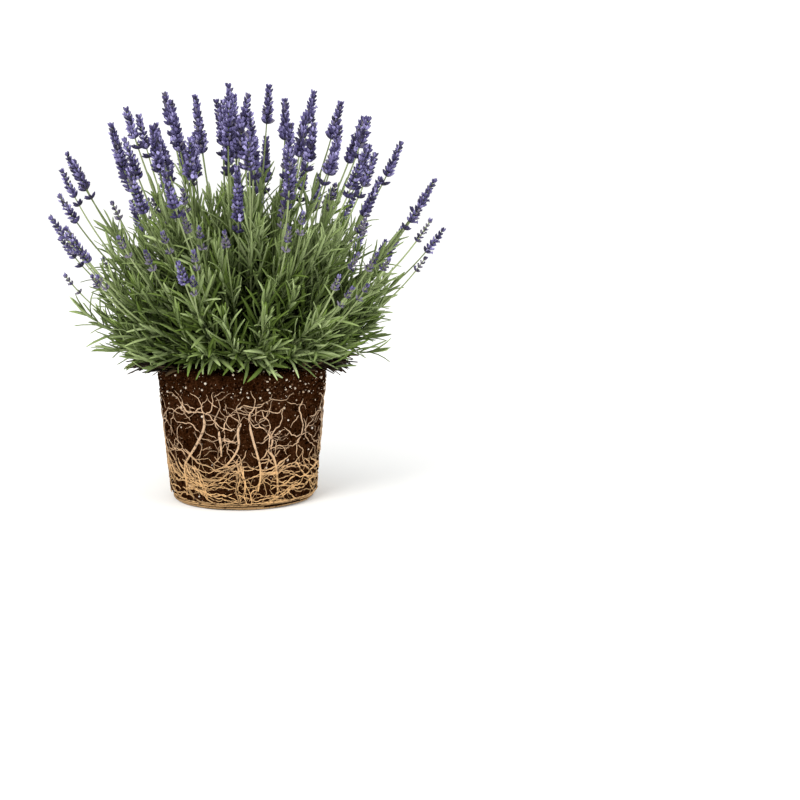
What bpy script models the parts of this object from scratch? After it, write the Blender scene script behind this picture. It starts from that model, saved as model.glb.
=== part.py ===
"""Lavender plant lifted out of its nursery pot.

A tapered ball of potting mix holds the plant. Roots run down its side and circle its bottom edge. A woody
crown is seated in the top of the ball. Leafy shoots fan out from the crown's stubs, and each flowering shoot
carries a bare stalk with a flower spike on it. Low shoots arch out over the rim of the ball.
The origin is the centre of the ball's flat base, +Z is up, and -Y is the front.
"""

import math

import bmesh
import bpy
from mathutils import Matrix, Vector

# Clearance between two pieces that touch.
FIT_GAP = 0.0003

# Ball of potting mix, the shape of the inside of a nursery pot.
BALL_HEIGHT = 0.134
BALL_TOP_RADIUS = 0.083
BALL_BASE_RADIUS = 0.0705
BALL_RIM_ROUND = 0.005
BALL_SIDES = 48
RIM_STEPS = 3

# Roots that circle the bottom edge of the ball, in a notch as wide and as high as they are thick.
RING_THICKNESS = 0.0054
RING_LIFT = 0.0005
RING_SECTION_SIDES = 8

# Thick roots on the side of the ball.
ROOT_RADIUS = 0.0013
ROOT_TIP_SHARE = 0.45
ROOT_CLEARANCE = 0.0006
ROOT_POINTS = 14

# Woody crown: a stock buried in the mix, a knob above it, and one stub for each shoot.
STOCK_RADIUS = 0.010
STOCK_DEPTH = 0.032
STOCK_SIDES = 14
KNOB_RISE = 0.013
KNOB_RADIUS = 0.014
KNOB_STEPS = 3
KNOB_TOP_DEGREES = 70.0
STUB_REACH = 0.028
STUB_ROOT_RADIUS = 0.0042
STUB_TIP_RADIUS = 0.0026
STUB_SIDES = 7

# Leafy shoots: spindles that stand for a stem with its leaves.
SHOOT_RADIUS = 0.0092
SHOOT_END_RADIUS = 0.0022
SHOOT_BELLY_LEAD = 0.85
SHOOT_BELLY_POWER = 0.8
SHOOT_POINTS = 8

# Bare stalks under the flowers.
STALK_RADIUS = 0.0009
STALK_LENGTH = 0.050
STALK_POINTS = 5

# Flower spikes: whorls of buds that taper to a point.
SPIKE_RADIUS = 0.0062
SPIKE_WAIST_SHARE = 0.68
SPIKE_TAPER = 0.62
SPIKE_TAPER_POWER = 1.6
SPIKE_FOOT_RADIUS = 0.0016
SPIKE_TIP_RADIUS = 0.0008
WHORL_PITCH = 0.0105

# Share of its lean by which a flowering stem starts lower and ends more upright than its chord.
STEM_BEND = 0.42

# Sides of a round tube: 4, and 2 more for each step of its bevel.
THIN_BEVEL = 1
FULL_BEVEL = 2

# Low shoots: how far their tips sink below the crown, and the angle by which they arch upwards.
LOW_DROP = 0.012
LOW_ARCH_DEGREES = 17.0

# Flowering stems: turn about +Z from +X, lean from upright, distance from crown to tip, spike length.
FLOWERING_STEMS = (
    (189, 53.7, 0.225, 0.030),
    (161, 43.6, 0.260, 0.036),
    (213, 27.5, 0.266, 0.034),
    (127, 26.4, 0.274, 0.038),
    (236, 16.0, 0.257, 0.055),
    (103, 8.7, 0.258, 0.056),
    (326, 7.9, 0.258, 0.037),
    (49, 25.1, 0.273, 0.038),
    (334, 30.9, 0.264, 0.035),
    (17, 40.5, 0.260, 0.042),
    (348, 48.7, 0.253, 0.034),
    (5, 60.4, 0.232, 0.031),
    (269, 30.0, 0.213, 0.060),
    (251, 58.6, 0.199, 0.027),
    (84, 46.4, 0.251, 0.038),
)

# Low shoots: turn about +Z from +X, and reach past the rim of the ball.
LOW_SHOOTS = (
    (221, 0.044),
    (284, 0.028),
    (320, 0.042),
    (44, 0.050),
    (124, 0.052),
)

# Thick roots: (turn, height) of the points that each one runs through on the side of the ball.
MAIN_ROOTS = (
    ((269, 0.087), (266, 0.079), (267, 0.066), (262, 0.053), (257, 0.046)),
    ((274, 0.087), (276, 0.074), (279, 0.059), (282, 0.043), (282, 0.031), (280, 0.020)),
    ((242, 0.094), (243, 0.083), (233, 0.060), (221, 0.041), (222, 0.027), (221, 0.012)),
    ((287, 0.060), (292, 0.051), (295, 0.034), (296, 0.016)),
    ((253, 0.079), (254, 0.066), (254, 0.055)),
    ((148, 0.094), (156, 0.070), (151, 0.044), (158, 0.016)),
    ((38, 0.092), (30, 0.068), (36, 0.042), (28, 0.015)),
)

CROWN_CENTRE = Vector((0.0, 0.0, BALL_HEIGHT + KNOB_RISE))
PATH_SAMPLES = 160


def material(name, colour, roughness):
    """A non-metallic surface of one colour."""
    made = bpy.data.materials.new(name)
    made.use_nodes = True
    shader = made.node_tree.nodes["Principled BSDF"]
    shader.inputs["Base Color"].default_value = (*colour, 1.0)
    shader.inputs["Roughness"].default_value = roughness
    shader.inputs["Metallic"].default_value = 0.0
    made.diffuse_color = (*colour, 1.0)
    return made


def place(name, data, surface):
    """Puts the data into the scene as an object of this name and surface."""
    made = bpy.data.objects.new(name, data)
    data.materials.append(surface)
    bpy.context.scene.collection.objects.link(made)
    return made


def turned(name, profile, sides, surface):
    """Turns a profile of (radius, height) points about the Z axis and closes its two open ends."""
    mesh = bpy.data.meshes.new(name)
    form = bmesh.new()
    points = [form.verts.new((radius, 0.0, height)) for radius, height in profile]
    edges = [form.edges.new(pair) for pair in zip(points, points[1:])]
    bmesh.ops.spin(
        form,
        geom=points + edges,
        axis=(0, 0, 1),
        cent=(0, 0, 0),
        steps=sides,
        angle=math.tau,
        use_merge=True,
    )
    bmesh.ops.remove_doubles(form, verts=form.verts, dist=1e-6)
    bmesh.ops.holes_fill(form, edges=form.edges, sides=0)
    bmesh.ops.recalc_face_normals(form, faces=form.faces)
    form.to_mesh(mesh)
    form.free()
    mesh.shade_smooth()
    mesh.set_sharp_from_angle(angle=math.radians(40))
    return place(name, mesh, surface)


def tube(name, points, radii, resolution, surface):
    """A round tube through the points, with a radius at each and a flat cap on both ends."""
    curve = bpy.data.curves.new(name, "CURVE")
    curve.dimensions = "3D"
    curve.bevel_depth = 1.0
    curve.bevel_resolution = resolution
    curve.use_fill_caps = True
    spline = curve.splines.new("POLY")
    spline.points.add(len(points) - 1)
    for knot, point, radius in zip(spline.points, points, radii):
        knot.co = (*point, 1.0)
        knot.radius = radius
    spline.use_smooth = True
    return place(name, curve, surface)


def outward(turn):
    """The level direction at this turn about +Z from +X."""
    return Vector((math.cos(math.radians(turn)), math.sin(math.radians(turn)), 0.0))


def arch(start, end, rise):
    """Points of a curve from start to end whose middle handle stands off the chord by the vector rise."""
    handle = (start + end) / 2 + rise
    path = []
    for step in range(PATH_SAMPLES + 1):
        share = step / PATH_SAMPLES
        path.append(start.lerp(handle, share).lerp(handle.lerp(end, share), share))
    return path


def length_of(path):
    return sum((b - a).length for a, b in zip(path, path[1:]))


def point_along(path, distance):
    """The point at this distance along the path."""
    for a, b in zip(path, path[1:]):
        step = (b - a).length
        if distance <= step:
            return a.lerp(b, distance / step)
        distance -= step
    return path[-1].copy()


def stretch(path, start, end, count):
    """Evenly spaced points on the path between two distances along it."""
    return [point_along(path, start + (end - start) * i / (count - 1)) for i in range(count)]


def flowering_path(turn, lean, reach):
    """A stem that leaves the crown low and straightens up towards its tip."""
    tilt = math.radians(lean)
    out = outward(turn)
    up = Vector((0, 0, 1))
    chord = (out * math.sin(tilt) + up * math.cos(tilt)) * reach
    below = out * math.cos(tilt) - up * math.sin(tilt)
    return arch(CROWN_CENTRE, CROWN_CENTRE + chord, below * (reach / 2 * math.tan(STEM_BEND * tilt)))


def low_path(turn, overhang):
    """A shoot that arches out over the rim of the ball and sinks below the crown."""
    end = CROWN_CENTRE + outward(turn) * (BALL_TOP_RADIUS + overhang) - Vector((0, 0, LOW_DROP))
    span = (end - CROWN_CENTRE).length
    lift = Vector((0, 0, span / 2 * math.tan(math.radians(LOW_ARCH_DEGREES))))
    return arch(CROWN_CENTRE, end, lift)


def ball_radius(height):
    """Radius of the ball's tapered side at this height."""
    return BALL_BASE_RADIUS + (BALL_TOP_RADIUS - BALL_BASE_RADIUS) * height / BALL_HEIGHT


def soil_ball(surface):
    """The ball, with the notch of the circling roots at its foot and the socket of the stock in its top."""
    notch_radius = BALL_BASE_RADIUS - RING_THICKNESS - FIT_GAP
    notch_height = RING_LIFT + RING_THICKNESS + FIT_GAP
    socket_radius = STOCK_RADIUS + FIT_GAP
    rim_centre = (ball_radius(BALL_HEIGHT) - BALL_RIM_ROUND, BALL_HEIGHT - BALL_RIM_ROUND)
    profile = [(notch_radius, 0.0), (notch_radius, notch_height), (ball_radius(notch_height), notch_height)]
    profile.append((ball_radius(BALL_HEIGHT / 2), BALL_HEIGHT / 2))
    for step in range(RIM_STEPS + 1):
        angle = math.pi / 2 * step / RIM_STEPS
        profile.append(
            (
                rim_centre[0] + BALL_RIM_ROUND * math.cos(angle),
                rim_centre[1] + BALL_RIM_ROUND * math.sin(angle),
            )
        )
    profile.append((socket_radius, BALL_HEIGHT))
    profile.append((socket_radius, BALL_HEIGHT - STOCK_DEPTH - FIT_GAP))
    return turned("soil_ball", profile, BALL_SIDES, surface)


def base_root_ring(surface):
    """The bundle of circling roots, one round ring in the ball's notch."""
    centre_radius = BALL_BASE_RADIUS - RING_THICKNESS / 2
    centre_height = RING_LIFT + RING_THICKNESS / 2
    profile = []
    for step in range(RING_SECTION_SIDES + 1):
        angle = math.tau * step / RING_SECTION_SIDES
        profile.append(
            (
                centre_radius + RING_THICKNESS / 2 * math.cos(angle),
                centre_height + RING_THICKNESS / 2 * math.sin(angle),
            )
        )
    return turned("base_root_ring", profile, BALL_SIDES, surface)


def smooth_values(knots, count):
    """Values read evenly from a smooth curve through the knots."""
    ends = [2 * knots[0] - knots[1], *knots, 2 * knots[-1] - knots[-2]]
    values = []
    for step in range(count):
        place_on = step / (count - 1) * (len(knots) - 1)
        first = min(int(place_on), len(knots) - 2)
        share = place_on - first
        a, b, c, d = ends[first : first + 4]
        values.append(
            b
            + share * (c - a) / 2
            + share**2 * (a - 2.5 * b + 2 * c - d / 2)
            + share**3 * (1.5 * (b - c) + (d - a) / 2)
        )
    return values


def main_root(number, knots, surface):
    """A root that runs down the side of the ball, thick at its top and thin at its end."""
    turns = smooth_values([turn for turn, _ in knots], ROOT_POINTS)
    heights = smooth_values([height for _, height in knots], ROOT_POINTS)
    points = []
    radii = []
    for step, (turn, height) in enumerate(zip(turns, heights)):
        thickness = ROOT_RADIUS * (1 - (1 - ROOT_TIP_SHARE) * step / (ROOT_POINTS - 1))
        stand_off = ball_radius(height) + ROOT_CLEARANCE + thickness
        points.append(outward(turn) * stand_off + Vector((0, 0, height)))
        radii.append(thickness)
    return tube(f"main_root_{number:02d}", points, radii, THIN_BEVEL, surface)


def stub(path):
    """A tapered stub that ends square across the path, and starts inside the knob."""
    end = point_along(path, STUB_REACH)
    before = point_along(path, STUB_REACH - FIT_GAP)
    along = (end - before).normalized()
    middle = Matrix.Translation(end - along * STUB_REACH / 2)
    mesh = bpy.data.meshes.new("stub")
    form = bmesh.new()
    bmesh.ops.create_cone(
        form,
        cap_ends=True,
        segments=STUB_SIDES,
        radius1=STUB_ROOT_RADIUS,
        radius2=STUB_TIP_RADIUS,
        depth=STUB_REACH,
        matrix=middle @ along.to_track_quat("Z", "Y").to_matrix().to_4x4(),
    )
    form.to_mesh(mesh)
    form.free()
    made = bpy.data.objects.new("stub", mesh)
    made.hide_render = True
    made.display_type = "WIRE"
    return made


def woody_crown(paths, surface):
    """The stock and knob, turned in one piece, joined to a stub for each shoot."""
    profile = [(STOCK_RADIUS, BALL_HEIGHT - STOCK_DEPTH), (STOCK_RADIUS, BALL_HEIGHT + KNOB_RISE / 4)]
    for step in range(KNOB_STEPS + 1):
        angle = math.radians(KNOB_TOP_DEGREES) * step / KNOB_STEPS
        profile.append((KNOB_RADIUS * math.cos(angle), CROWN_CENTRE.z + KNOB_RADIUS * math.sin(angle)))
    crown = turned("woody_crown", profile, STOCK_SIDES, surface)
    stubs = bpy.data.collections.new("crown_stubs")
    bpy.context.scene.collection.children.link(stubs)
    for path in paths:
        stubs.objects.link(stub(path))
    join = crown.modifiers.new("join_stubs", "BOOLEAN")
    join.operation = "UNION"
    join.operand_type = "COLLECTION"
    join.solver = "EXACT"
    join.collection = stubs
    return crown


def leafy_shoot(name, path, end, surface):
    """A spindle along the path from the crown's stub to this distance."""
    points = stretch(path, STUB_REACH + FIT_GAP, end, SHOOT_POINTS)
    radii = []
    for step in range(SHOOT_POINTS):
        share = (step / (SHOOT_POINTS - 1)) ** SHOOT_BELLY_LEAD
        fullness = abs(math.sin(math.pi * share)) ** SHOOT_BELLY_POWER
        radii.append(SHOOT_END_RADIUS + (SHOOT_RADIUS - SHOOT_END_RADIUS) * fullness)
    return tube(name, points, radii, FULL_BEVEL, surface)


def flower_spike(name, path, start, end, surface):
    """Whorls of buds along the end of the path, widest below the middle."""
    whorls = max(2, round((end - start) / WHORL_PITCH))
    points = stretch(path, start, end, 2 * whorls + 1)
    radii = [SPIKE_FOOT_RADIUS]
    for step in range(1, 2 * whorls):
        share = step / (2 * whorls)
        body = SPIKE_RADIUS * (1 - SPIKE_TAPER * share**SPIKE_TAPER_POWER)
        radii.append(body if step % 2 else body * SPIKE_WAIST_SHARE)
    radii.append(SPIKE_TIP_RADIUS)
    return tube(name, points, radii, FULL_BEVEL, surface)


def flowering_stem(number, path, spike_length, surfaces):
    """The leafy shoot, the bare stalk and the flower spike of one stem, end to end."""
    total = length_of(path)
    spike_start = total - spike_length
    stalk_start = spike_start - STALK_LENGTH
    leafy_shoot(f"leafy_shoot_{number:02d}", path, stalk_start - FIT_GAP, surfaces["leaf"])
    stalk_points = stretch(path, stalk_start, spike_start - FIT_GAP, STALK_POINTS)
    stalk_radii = [STALK_RADIUS] * STALK_POINTS
    tube(f"flower_stalk_{number:02d}", stalk_points, stalk_radii, THIN_BEVEL, surfaces["stalk"])
    flower_spike(f"flower_spike_{number:02d}", path, spike_start, total, surfaces["flower"])


def build():
    for old in list(bpy.data.objects):
        bpy.data.objects.remove(old, do_unlink=True)
    surfaces = {
        "soil": material("dark_potting_mix", (0.026, 0.010, 0.005), 0.95),
        "root": material("tan_root", (0.55, 0.33, 0.14), 0.7),
        "wood": material("grey_brown_wood", (0.13, 0.085, 0.05), 0.85),
        "leaf": material("grey_green_leaf", (0.13, 0.22, 0.06), 0.6),
        "stalk": material("pale_green_stalk", (0.22, 0.31, 0.12), 0.6),
        "flower": material("violet_flower", (0.075, 0.05, 0.22), 0.7),
    }
    soil_ball(surfaces["soil"])
    base_root_ring(surfaces["root"])
    for number, knots in enumerate(MAIN_ROOTS, 1):
        main_root(number, knots, surfaces["root"])
    flowering = [flowering_path(turn, lean, reach) for turn, lean, reach, _ in FLOWERING_STEMS]
    low = [low_path(turn, overhang) for turn, overhang in LOW_SHOOTS]
    woody_crown(flowering + low, surfaces["wood"])
    for number, (path, stem) in enumerate(zip(flowering, FLOWERING_STEMS), 1):
        flowering_stem(number, path, stem[3], surfaces)
    for number, path in enumerate(low, 1):
        leafy_shoot(f"low_shoot_{number:02d}", path, length_of(path), surfaces["leaf"])


build()
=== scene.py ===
"""A lavender plant standing on its bare root ball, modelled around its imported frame."""

import math
import random

import bpy
import numpy as np
from bpy.props import FloatProperty, FloatVectorProperty, IntProperty, PointerProperty
from bpy.types import Operator, Panel, PropertyGroup
from mathutils import Matrix, Vector


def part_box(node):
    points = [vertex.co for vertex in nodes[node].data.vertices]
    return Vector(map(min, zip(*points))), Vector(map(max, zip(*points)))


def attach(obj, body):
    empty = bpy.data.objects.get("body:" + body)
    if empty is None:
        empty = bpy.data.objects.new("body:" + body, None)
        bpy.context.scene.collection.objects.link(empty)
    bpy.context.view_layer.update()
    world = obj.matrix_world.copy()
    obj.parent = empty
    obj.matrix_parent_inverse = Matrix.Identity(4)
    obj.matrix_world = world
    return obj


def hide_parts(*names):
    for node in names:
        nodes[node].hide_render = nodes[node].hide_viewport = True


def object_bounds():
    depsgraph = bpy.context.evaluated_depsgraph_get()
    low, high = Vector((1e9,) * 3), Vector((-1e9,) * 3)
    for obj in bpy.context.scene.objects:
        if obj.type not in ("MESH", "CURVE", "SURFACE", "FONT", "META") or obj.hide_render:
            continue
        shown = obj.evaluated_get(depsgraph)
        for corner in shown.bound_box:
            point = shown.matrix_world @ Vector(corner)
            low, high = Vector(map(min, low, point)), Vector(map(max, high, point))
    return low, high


bl_info = {
    "name": "Lavender plant",
    "version": (1, 0, 0),
    "blender": (4, 5, 0),
    "location": "View3D > Sidebar > Lavender",
    "description": "Dresses the packed lavender plant with leaves, flowers, soil and roots",
    "category": "Add Mesh",
}

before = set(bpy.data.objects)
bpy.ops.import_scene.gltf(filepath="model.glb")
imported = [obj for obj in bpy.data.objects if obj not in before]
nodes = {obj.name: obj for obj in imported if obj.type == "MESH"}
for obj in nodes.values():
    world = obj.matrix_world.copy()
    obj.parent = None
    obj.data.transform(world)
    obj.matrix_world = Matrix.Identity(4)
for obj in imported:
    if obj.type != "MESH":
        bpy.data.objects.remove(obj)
cad_low, cad_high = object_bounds()

# The map of every piece: one column for each tone, with a margin on both sides of the column.
MAP = "OFBake"
TONES = 24
TONE_EDGE = 0.06
UP = Vector((0, 0, 1))
ASIDE = (0.31, 0.22, 0.93)  # no stem or root runs along it, so it can turn a ring of corners
CAP = 0.6  # how far a strand's ends bulge, in radii


# ---------------------------------------------------------------- shader maths


class Number:
    """One output of a material's nodes, which takes Python arithmetic."""

    def __init__(self, recipe, socket):
        self.recipe = recipe
        self.socket = socket

    def maths(self, operation, *values):
        return self.recipe.node("ShaderNodeMath", {"operation": operation}, dict(enumerate(values)))

    def __add__(self, other):
        return self.maths("ADD", self, other)

    def __sub__(self, other):
        return self.maths("SUBTRACT", self, other)

    def __rsub__(self, other):
        return self.maths("SUBTRACT", other, self)

    def __mul__(self, other):
        return self.maths("MULTIPLY", self, other)

    def __truediv__(self, other):
        return self.maths("DIVIDE", self, other)

    def __abs__(self):
        return self.maths("ABSOLUTE", self)

    __radd__ = __add__
    __rmul__ = __mul__

    def floor(self):
        return self.maths("FLOOR", self)

    def fraction(self):
        return self.maths("FRACT", self)

    def smooth(self, low, high):
        """0 below low, 1 above high, and a smooth step between them."""
        return self.recipe.node(
            "ShaderNodeMapRange",
            {"interpolation_type": "SMOOTHSTEP"},
            {0: self, 1: low, 2: high, 3: 0.0, 4: 1.0},
        )


class Recipe:
    """A material made of nodes, with a Principled shader."""

    def __init__(self, name, **constants):
        self.material = bpy.data.materials.new(name)
        self.material.use_nodes = True
        self.tree = self.material.node_tree
        self.shader = self.tree.nodes["Principled BSDF"]
        for key, value in constants.items():
            self.feed(self.shader.inputs[key.replace("_", " ").title().replace("Ior", "IOR")], value)

    def feed(self, socket, value):
        if isinstance(value, Number):
            self.tree.links.new(value.socket, socket)
        elif hasattr(value, "__len__") and len(value) == 3 and socket.type == "RGBA":
            socket.default_value = (*value, 1.0)
        else:
            socket.default_value = value

    def node(self, kind, settings=None, inputs=None, output=0):
        """Adds a node: its settings first, then the values or links of its inputs."""
        made = self.tree.nodes.new(kind)
        for key, value in (settings or {}).items():
            if key == "stops":
                self.stop_ramp(made.color_ramp, value)
            else:
                setattr(made, key, value)
        for key, value in (inputs or {}).items():
            self.feed(made.inputs[key], value)
        return Number(self, made.outputs[output])

    @staticmethod
    def stop_ramp(ramp, stops):
        while len(ramp.elements) < len(stops):
            ramp.elements.new(1.0)
        for element, (place, colour) in zip(ramp.elements, stops):
            element.position = place
            element.color = (*colour, 1.0)

    def ramp(self, number, stops):
        return self.node("ShaderNodeValToRGB", {"stops": stops}, {0: number})

    def mix(self, factor, first, second):
        return self.node("ShaderNodeMix", {"data_type": "RGBA"}, {0: factor, 6: first, 7: second}, 2)

    def scaled(self, colour, number):
        return self.node("ShaderNodeVectorMath", {"operation": "SCALE"}, {0: colour, 3: number})

    def noise(self, vector, scale, detail=2.0, roughness=0.5):
        return self.node(
            "ShaderNodeTexNoise",
            {},
            {"Vector": vector, "Scale": scale, "Detail": detail, "Roughness": roughness},
        )

    def object_place(self):
        return self.node("ShaderNodeTexCoord", {}, {}, "Object")

    def toned(self):
        """The tone from 0 to 1, the place across a copy from 0 to 1, and the place along it."""
        place = self.node("ShaderNodeUVMap", {"uv_map": MAP})
        across = self.node("ShaderNodeSeparateXYZ", {}, {0: place})
        along = Number(self, across.socket.node.outputs[1])
        column = across * float(TONES)
        tone = column.floor() / (TONES - 1.0)
        inside = (column.fraction() - TONE_EDGE) / (1 - 2 * TONE_EDGE)
        return tone, inside, along

    def streaks(self, across, along, columns, rows, detail=2.0, roughness=0.5):
        """Noise on a copy's own map, with so many columns across it and rows along it."""
        place = self.node("ShaderNodeCombineXYZ", {}, {0: across * columns, 1: along * rows, 2: 0.0})
        return self.noise(place, 1.0, detail, roughness)

    def surface(self, colour=None, roughness=None, bump=None, strength=0.3, distance=0.0004):
        if colour is not None:
            self.feed(self.shader.inputs["Base Color"], colour)
        if roughness is not None:
            self.feed(self.shader.inputs["Roughness"], roughness)
        if bump is not None:
            raised = self.node(
                "ShaderNodeBump", {}, {"Height": bump, "Strength": strength, "Distance": distance}
            )
            self.feed(self.shader.inputs["Normal"], raised)
        return self.material


# ---------------------------------------------------------------- modelling by hand


def start(kind, **settings):
    """Adds a primitive at its size and place, alone in the selection, and opens it for editing."""
    bpy.ops.object.select_all(action="DESELECT")
    getattr(bpy.ops.mesh, f"primitive_{kind}_add")(**settings)
    bpy.ops.object.mode_set(mode="EDIT")
    bpy.ops.mesh.select_all(action="SELECT")
    return bpy.context.active_object


def finish_editing():
    """Turns the faces outward and closes the editing."""
    bpy.ops.mesh.select_all(action="SELECT")
    bpy.ops.mesh.normals_make_consistent(inside=False)
    bpy.ops.object.mode_set(mode="OBJECT")


def extrude(move, widen=(1, 1, 1)):
    """Extrudes the selected face and scales its new end about its own middle."""
    bpy.ops.mesh.extrude_region_move(TRANSFORM_OT_translate={"value": move})
    if widen != (1, 1, 1):
        bpy.ops.transform.resize(value=widen)


def stalk_of_sections(sides, sections):
    """A closed body along +Z, from sections of height, width, thickness and shift to a last point."""
    low, width, thick, shift = sections[0]
    made = start("circle", vertices=sides, radius=0.5, fill_type="NGON", location=(0, 0, 0))
    bpy.ops.transform.resize(value=(width, thick, 1))
    bpy.ops.transform.translate(value=(0, shift, low))
    for height, new_width, new_thick, new_shift in sections[1:]:
        extrude((0, new_shift - shift, height - low))
        if new_width == 0:
            bpy.ops.mesh.merge(type="CENTER")
            break
        bpy.ops.transform.resize(value=(new_width / width, new_thick / thick, 1))
        low, width, thick, shift = height, new_width, new_thick, new_shift
    finish_editing()
    return made


class Shape:
    """One small body along +Z from 0 to 1, modelled once and kept as arrays that copies are made from."""

    def __init__(self, made, two_sided=False):
        mesh = made.data
        mesh.transform(made.matrix_world)
        count = len(mesh.vertices)
        points = np.empty(count * 3)
        mesh.vertices.foreach_get("co", points)
        self.points = points.reshape(-1, 3)
        self.corners = np.empty(len(mesh.loops), np.int64)
        mesh.loops.foreach_get("vertex_index", self.corners)
        self.totals = np.empty(len(mesh.polygons), np.int64)
        mesh.polygons.foreach_get("loop_total", self.totals)
        self.places = np.zeros((len(mesh.loops), 2))
        widest = np.abs(self.points[:, 0]).max()
        for face in mesh.polygons:
            middle = math.atan2(face.center.y, face.center.x) / math.tau
            for corner in face.loop_indices:
                x, y, z = self.points[self.corners[corner]]
                along = min(max(z, 0.0), 1.0)
                if two_sided:
                    side = 0.5 if face.normal.y > 0 else -0.5
                    self.places[corner] = (0.5 + x / widest / 2, 0.5 + side * along)
                else:
                    turn = math.atan2(y, x) / math.tau if math.hypot(x, y) > 1e-6 else middle
                    turn -= round(turn - middle)
                    self.places[corner] = (abs((turn + 1.0) % 2.0 - 1.0), along)
        bpy.data.objects.remove(made, do_unlink=True)


def column(tone):
    """The map's column for a tone from 0 to 1."""
    return min(max(int(tone * TONES), 0), TONES - 1)


class Heap:
    """Copies of shapes, and strands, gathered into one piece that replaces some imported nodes."""

    def __init__(self, *replaced):
        self.replaced = list(replaced)
        self.points = []
        self.corners = []
        self.totals = []
        self.places = []
        self.count = 0

    def add(self, points, corners, totals, places, tone):
        self.points.append(points)
        self.corners.append(corners + self.count)
        self.totals.append(totals)
        spread = np.array(places)
        inside = TONE_EDGE + (1 - 2 * TONE_EDGE) * np.clip(spread[:, 0], 0, 1)
        spread[:, 0] = (column(tone) + inside) / TONES
        self.places.append(spread)
        self.count += len(points)

    def copy(self, shape, matrix, tone):
        placed = np.array(matrix)
        self.add(
            shape.points @ placed[:3, :3].T + placed[:3, 3],
            shape.corners,
            shape.totals,
            shape.places,
            tone,
        )

    def strand(self, path, radii, tone, sides=6):
        """A round strand through the points of a path, closed at both ends."""
        path = np.asarray(path, float)
        rings = len(path)
        along = np.gradient(path, axis=0)
        along /= np.linalg.norm(along, axis=1)[:, None]
        side = np.cross(along[0], ASIDE)
        angles = np.arange(sides) * math.tau / sides
        points = np.empty((rings * sides + 2, 3))
        for ring in range(rings):
            side = side - along[ring] * (side @ along[ring])
            side /= np.linalg.norm(side)
            other = np.cross(along[ring], side)
            circle = np.outer(np.cos(angles), side) + np.outer(np.sin(angles), other)
            points[ring * sides : (ring + 1) * sides] = path[ring] + circle * radii[ring]
        points[-2] = path[0] - along[0] * radii[0] * CAP
        points[-1] = path[-1] + along[-1] * radii[-1] * CAP
        first, ring_of = np.meshgrid(np.arange(sides), np.arange(rings - 1))
        low = (ring_of * sides + first).ravel()
        low_next = (ring_of * sides + (first + 1) % sides).ravel()
        quads = np.stack([low, low_next, low_next + sides, low + sides], 1).ravel()
        u = np.abs(first.ravel() / sides * 2 - 1)
        u_next = np.abs((first.ravel() + 1) / sides * 2 - 1)
        v = ring_of.ravel() / (rings - 1)
        v_next = (ring_of.ravel() + 1) / (rings - 1)
        quad_places = np.stack([u, v, u_next, v, u_next, v_next, u, v_next], 1).reshape(-1, 2)
        number = np.arange(sides)
        after = (number + 1) % sides
        foot = np.stack([after, number, np.full(sides, rings * sides)], 1).ravel()
        top = (rings - 1) * sides
        tip = np.stack([top + number, top + after, np.full(sides, rings * sides + 1)], 1).ravel()
        fan = np.tile([[0.0, 0.0], [1.0, 0.0], [0.5, 0.0]], (sides, 1))
        self.add(
            points,
            np.concatenate([quads, foot, tip]),
            np.concatenate([np.full(len(quads) // 4, 4), np.full(2 * sides, 3)]),
            np.concatenate([quad_places, fan, fan + (0.0, 1.0)]),
            tone,
        )

    def piece(self, name, material, slot, smooth=True):
        """Makes the piece, which rides on the plant's one body."""
        if not self.points:
            raise RuntimeError(f"{name} has nothing in it")
        corners = np.concatenate(self.corners)
        totals = np.concatenate(self.totals)
        mesh = bpy.data.meshes.new(name)
        mesh.vertices.add(self.count)
        mesh.vertices.foreach_set("co", np.concatenate(self.points).ravel())
        mesh.loops.add(len(corners))
        mesh.loops.foreach_set("vertex_index", corners)
        mesh.polygons.add(len(totals))
        mesh.polygons.foreach_set("loop_start", np.concatenate([[0], np.cumsum(totals)[:-1]]))
        mesh.uv_layers.new(name=MAP).data.foreach_set("uv", np.concatenate(self.places).ravel())
        mesh.update(calc_edges=True)
        mesh.validate()
        if smooth:
            mesh.shade_smooth()
        settle(in_scene(name, mesh), material, self.replaced)


def in_scene(name, data):
    """A new object in the scene that shows a mesh, a light or a camera."""
    made = bpy.data.objects.new(name, data)
    bpy.context.scene.collection.objects.link(made)
    return made


def settle(made, material, replaced):
    """Gives a finished piece its material, its body and the nodes that it stands for."""
    made.data.materials.clear()
    made.data.materials.append(material)
    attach(made, "root")
    if replaced:
        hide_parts(*replaced)


def bake_into_mesh(made):
    """Applies every modifier of a piece, in order."""
    bpy.ops.object.select_all(action="DESELECT")
    made.select_set(True)
    bpy.context.view_layer.objects.active = made
    for modifier in list(made.modifiers):
        bpy.ops.object.modifier_apply(modifier=modifier.name)


def facing(place, along, top, width, thick, length):
    """The matrix of a copy that lies along one direction with its top side towards another."""
    across = top.cross(along).normalized()
    over = along.cross(across)
    turned = Matrix((across * width, over * thick, along * length)).transposed().to_4x4()
    return Matrix.Translation(place) @ turned


# ---------------------------------------------------------------- the plant's plan


def node_points(name):
    """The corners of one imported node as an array."""
    mesh = nodes[name].data
    points = np.empty(len(mesh.vertices) * 3)
    mesh.vertices.foreach_get("co", points)
    return points.reshape(-1, 3)


def outward(turn):
    """The level direction at a turn in degrees, which counts from +X."""
    return Vector((math.cos(math.radians(turn)), math.sin(math.radians(turn)), 0.0))


def turn_of(point):
    """The turn in degrees at which a point stands round the plant."""
    return math.degrees(math.atan2(point[1], point[0]))


def frontness(turn):
    """1 at the front of the plant, 0 at its sides and its back."""
    return max(0.0, math.cos(math.radians(turn - FRONT)))


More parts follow.
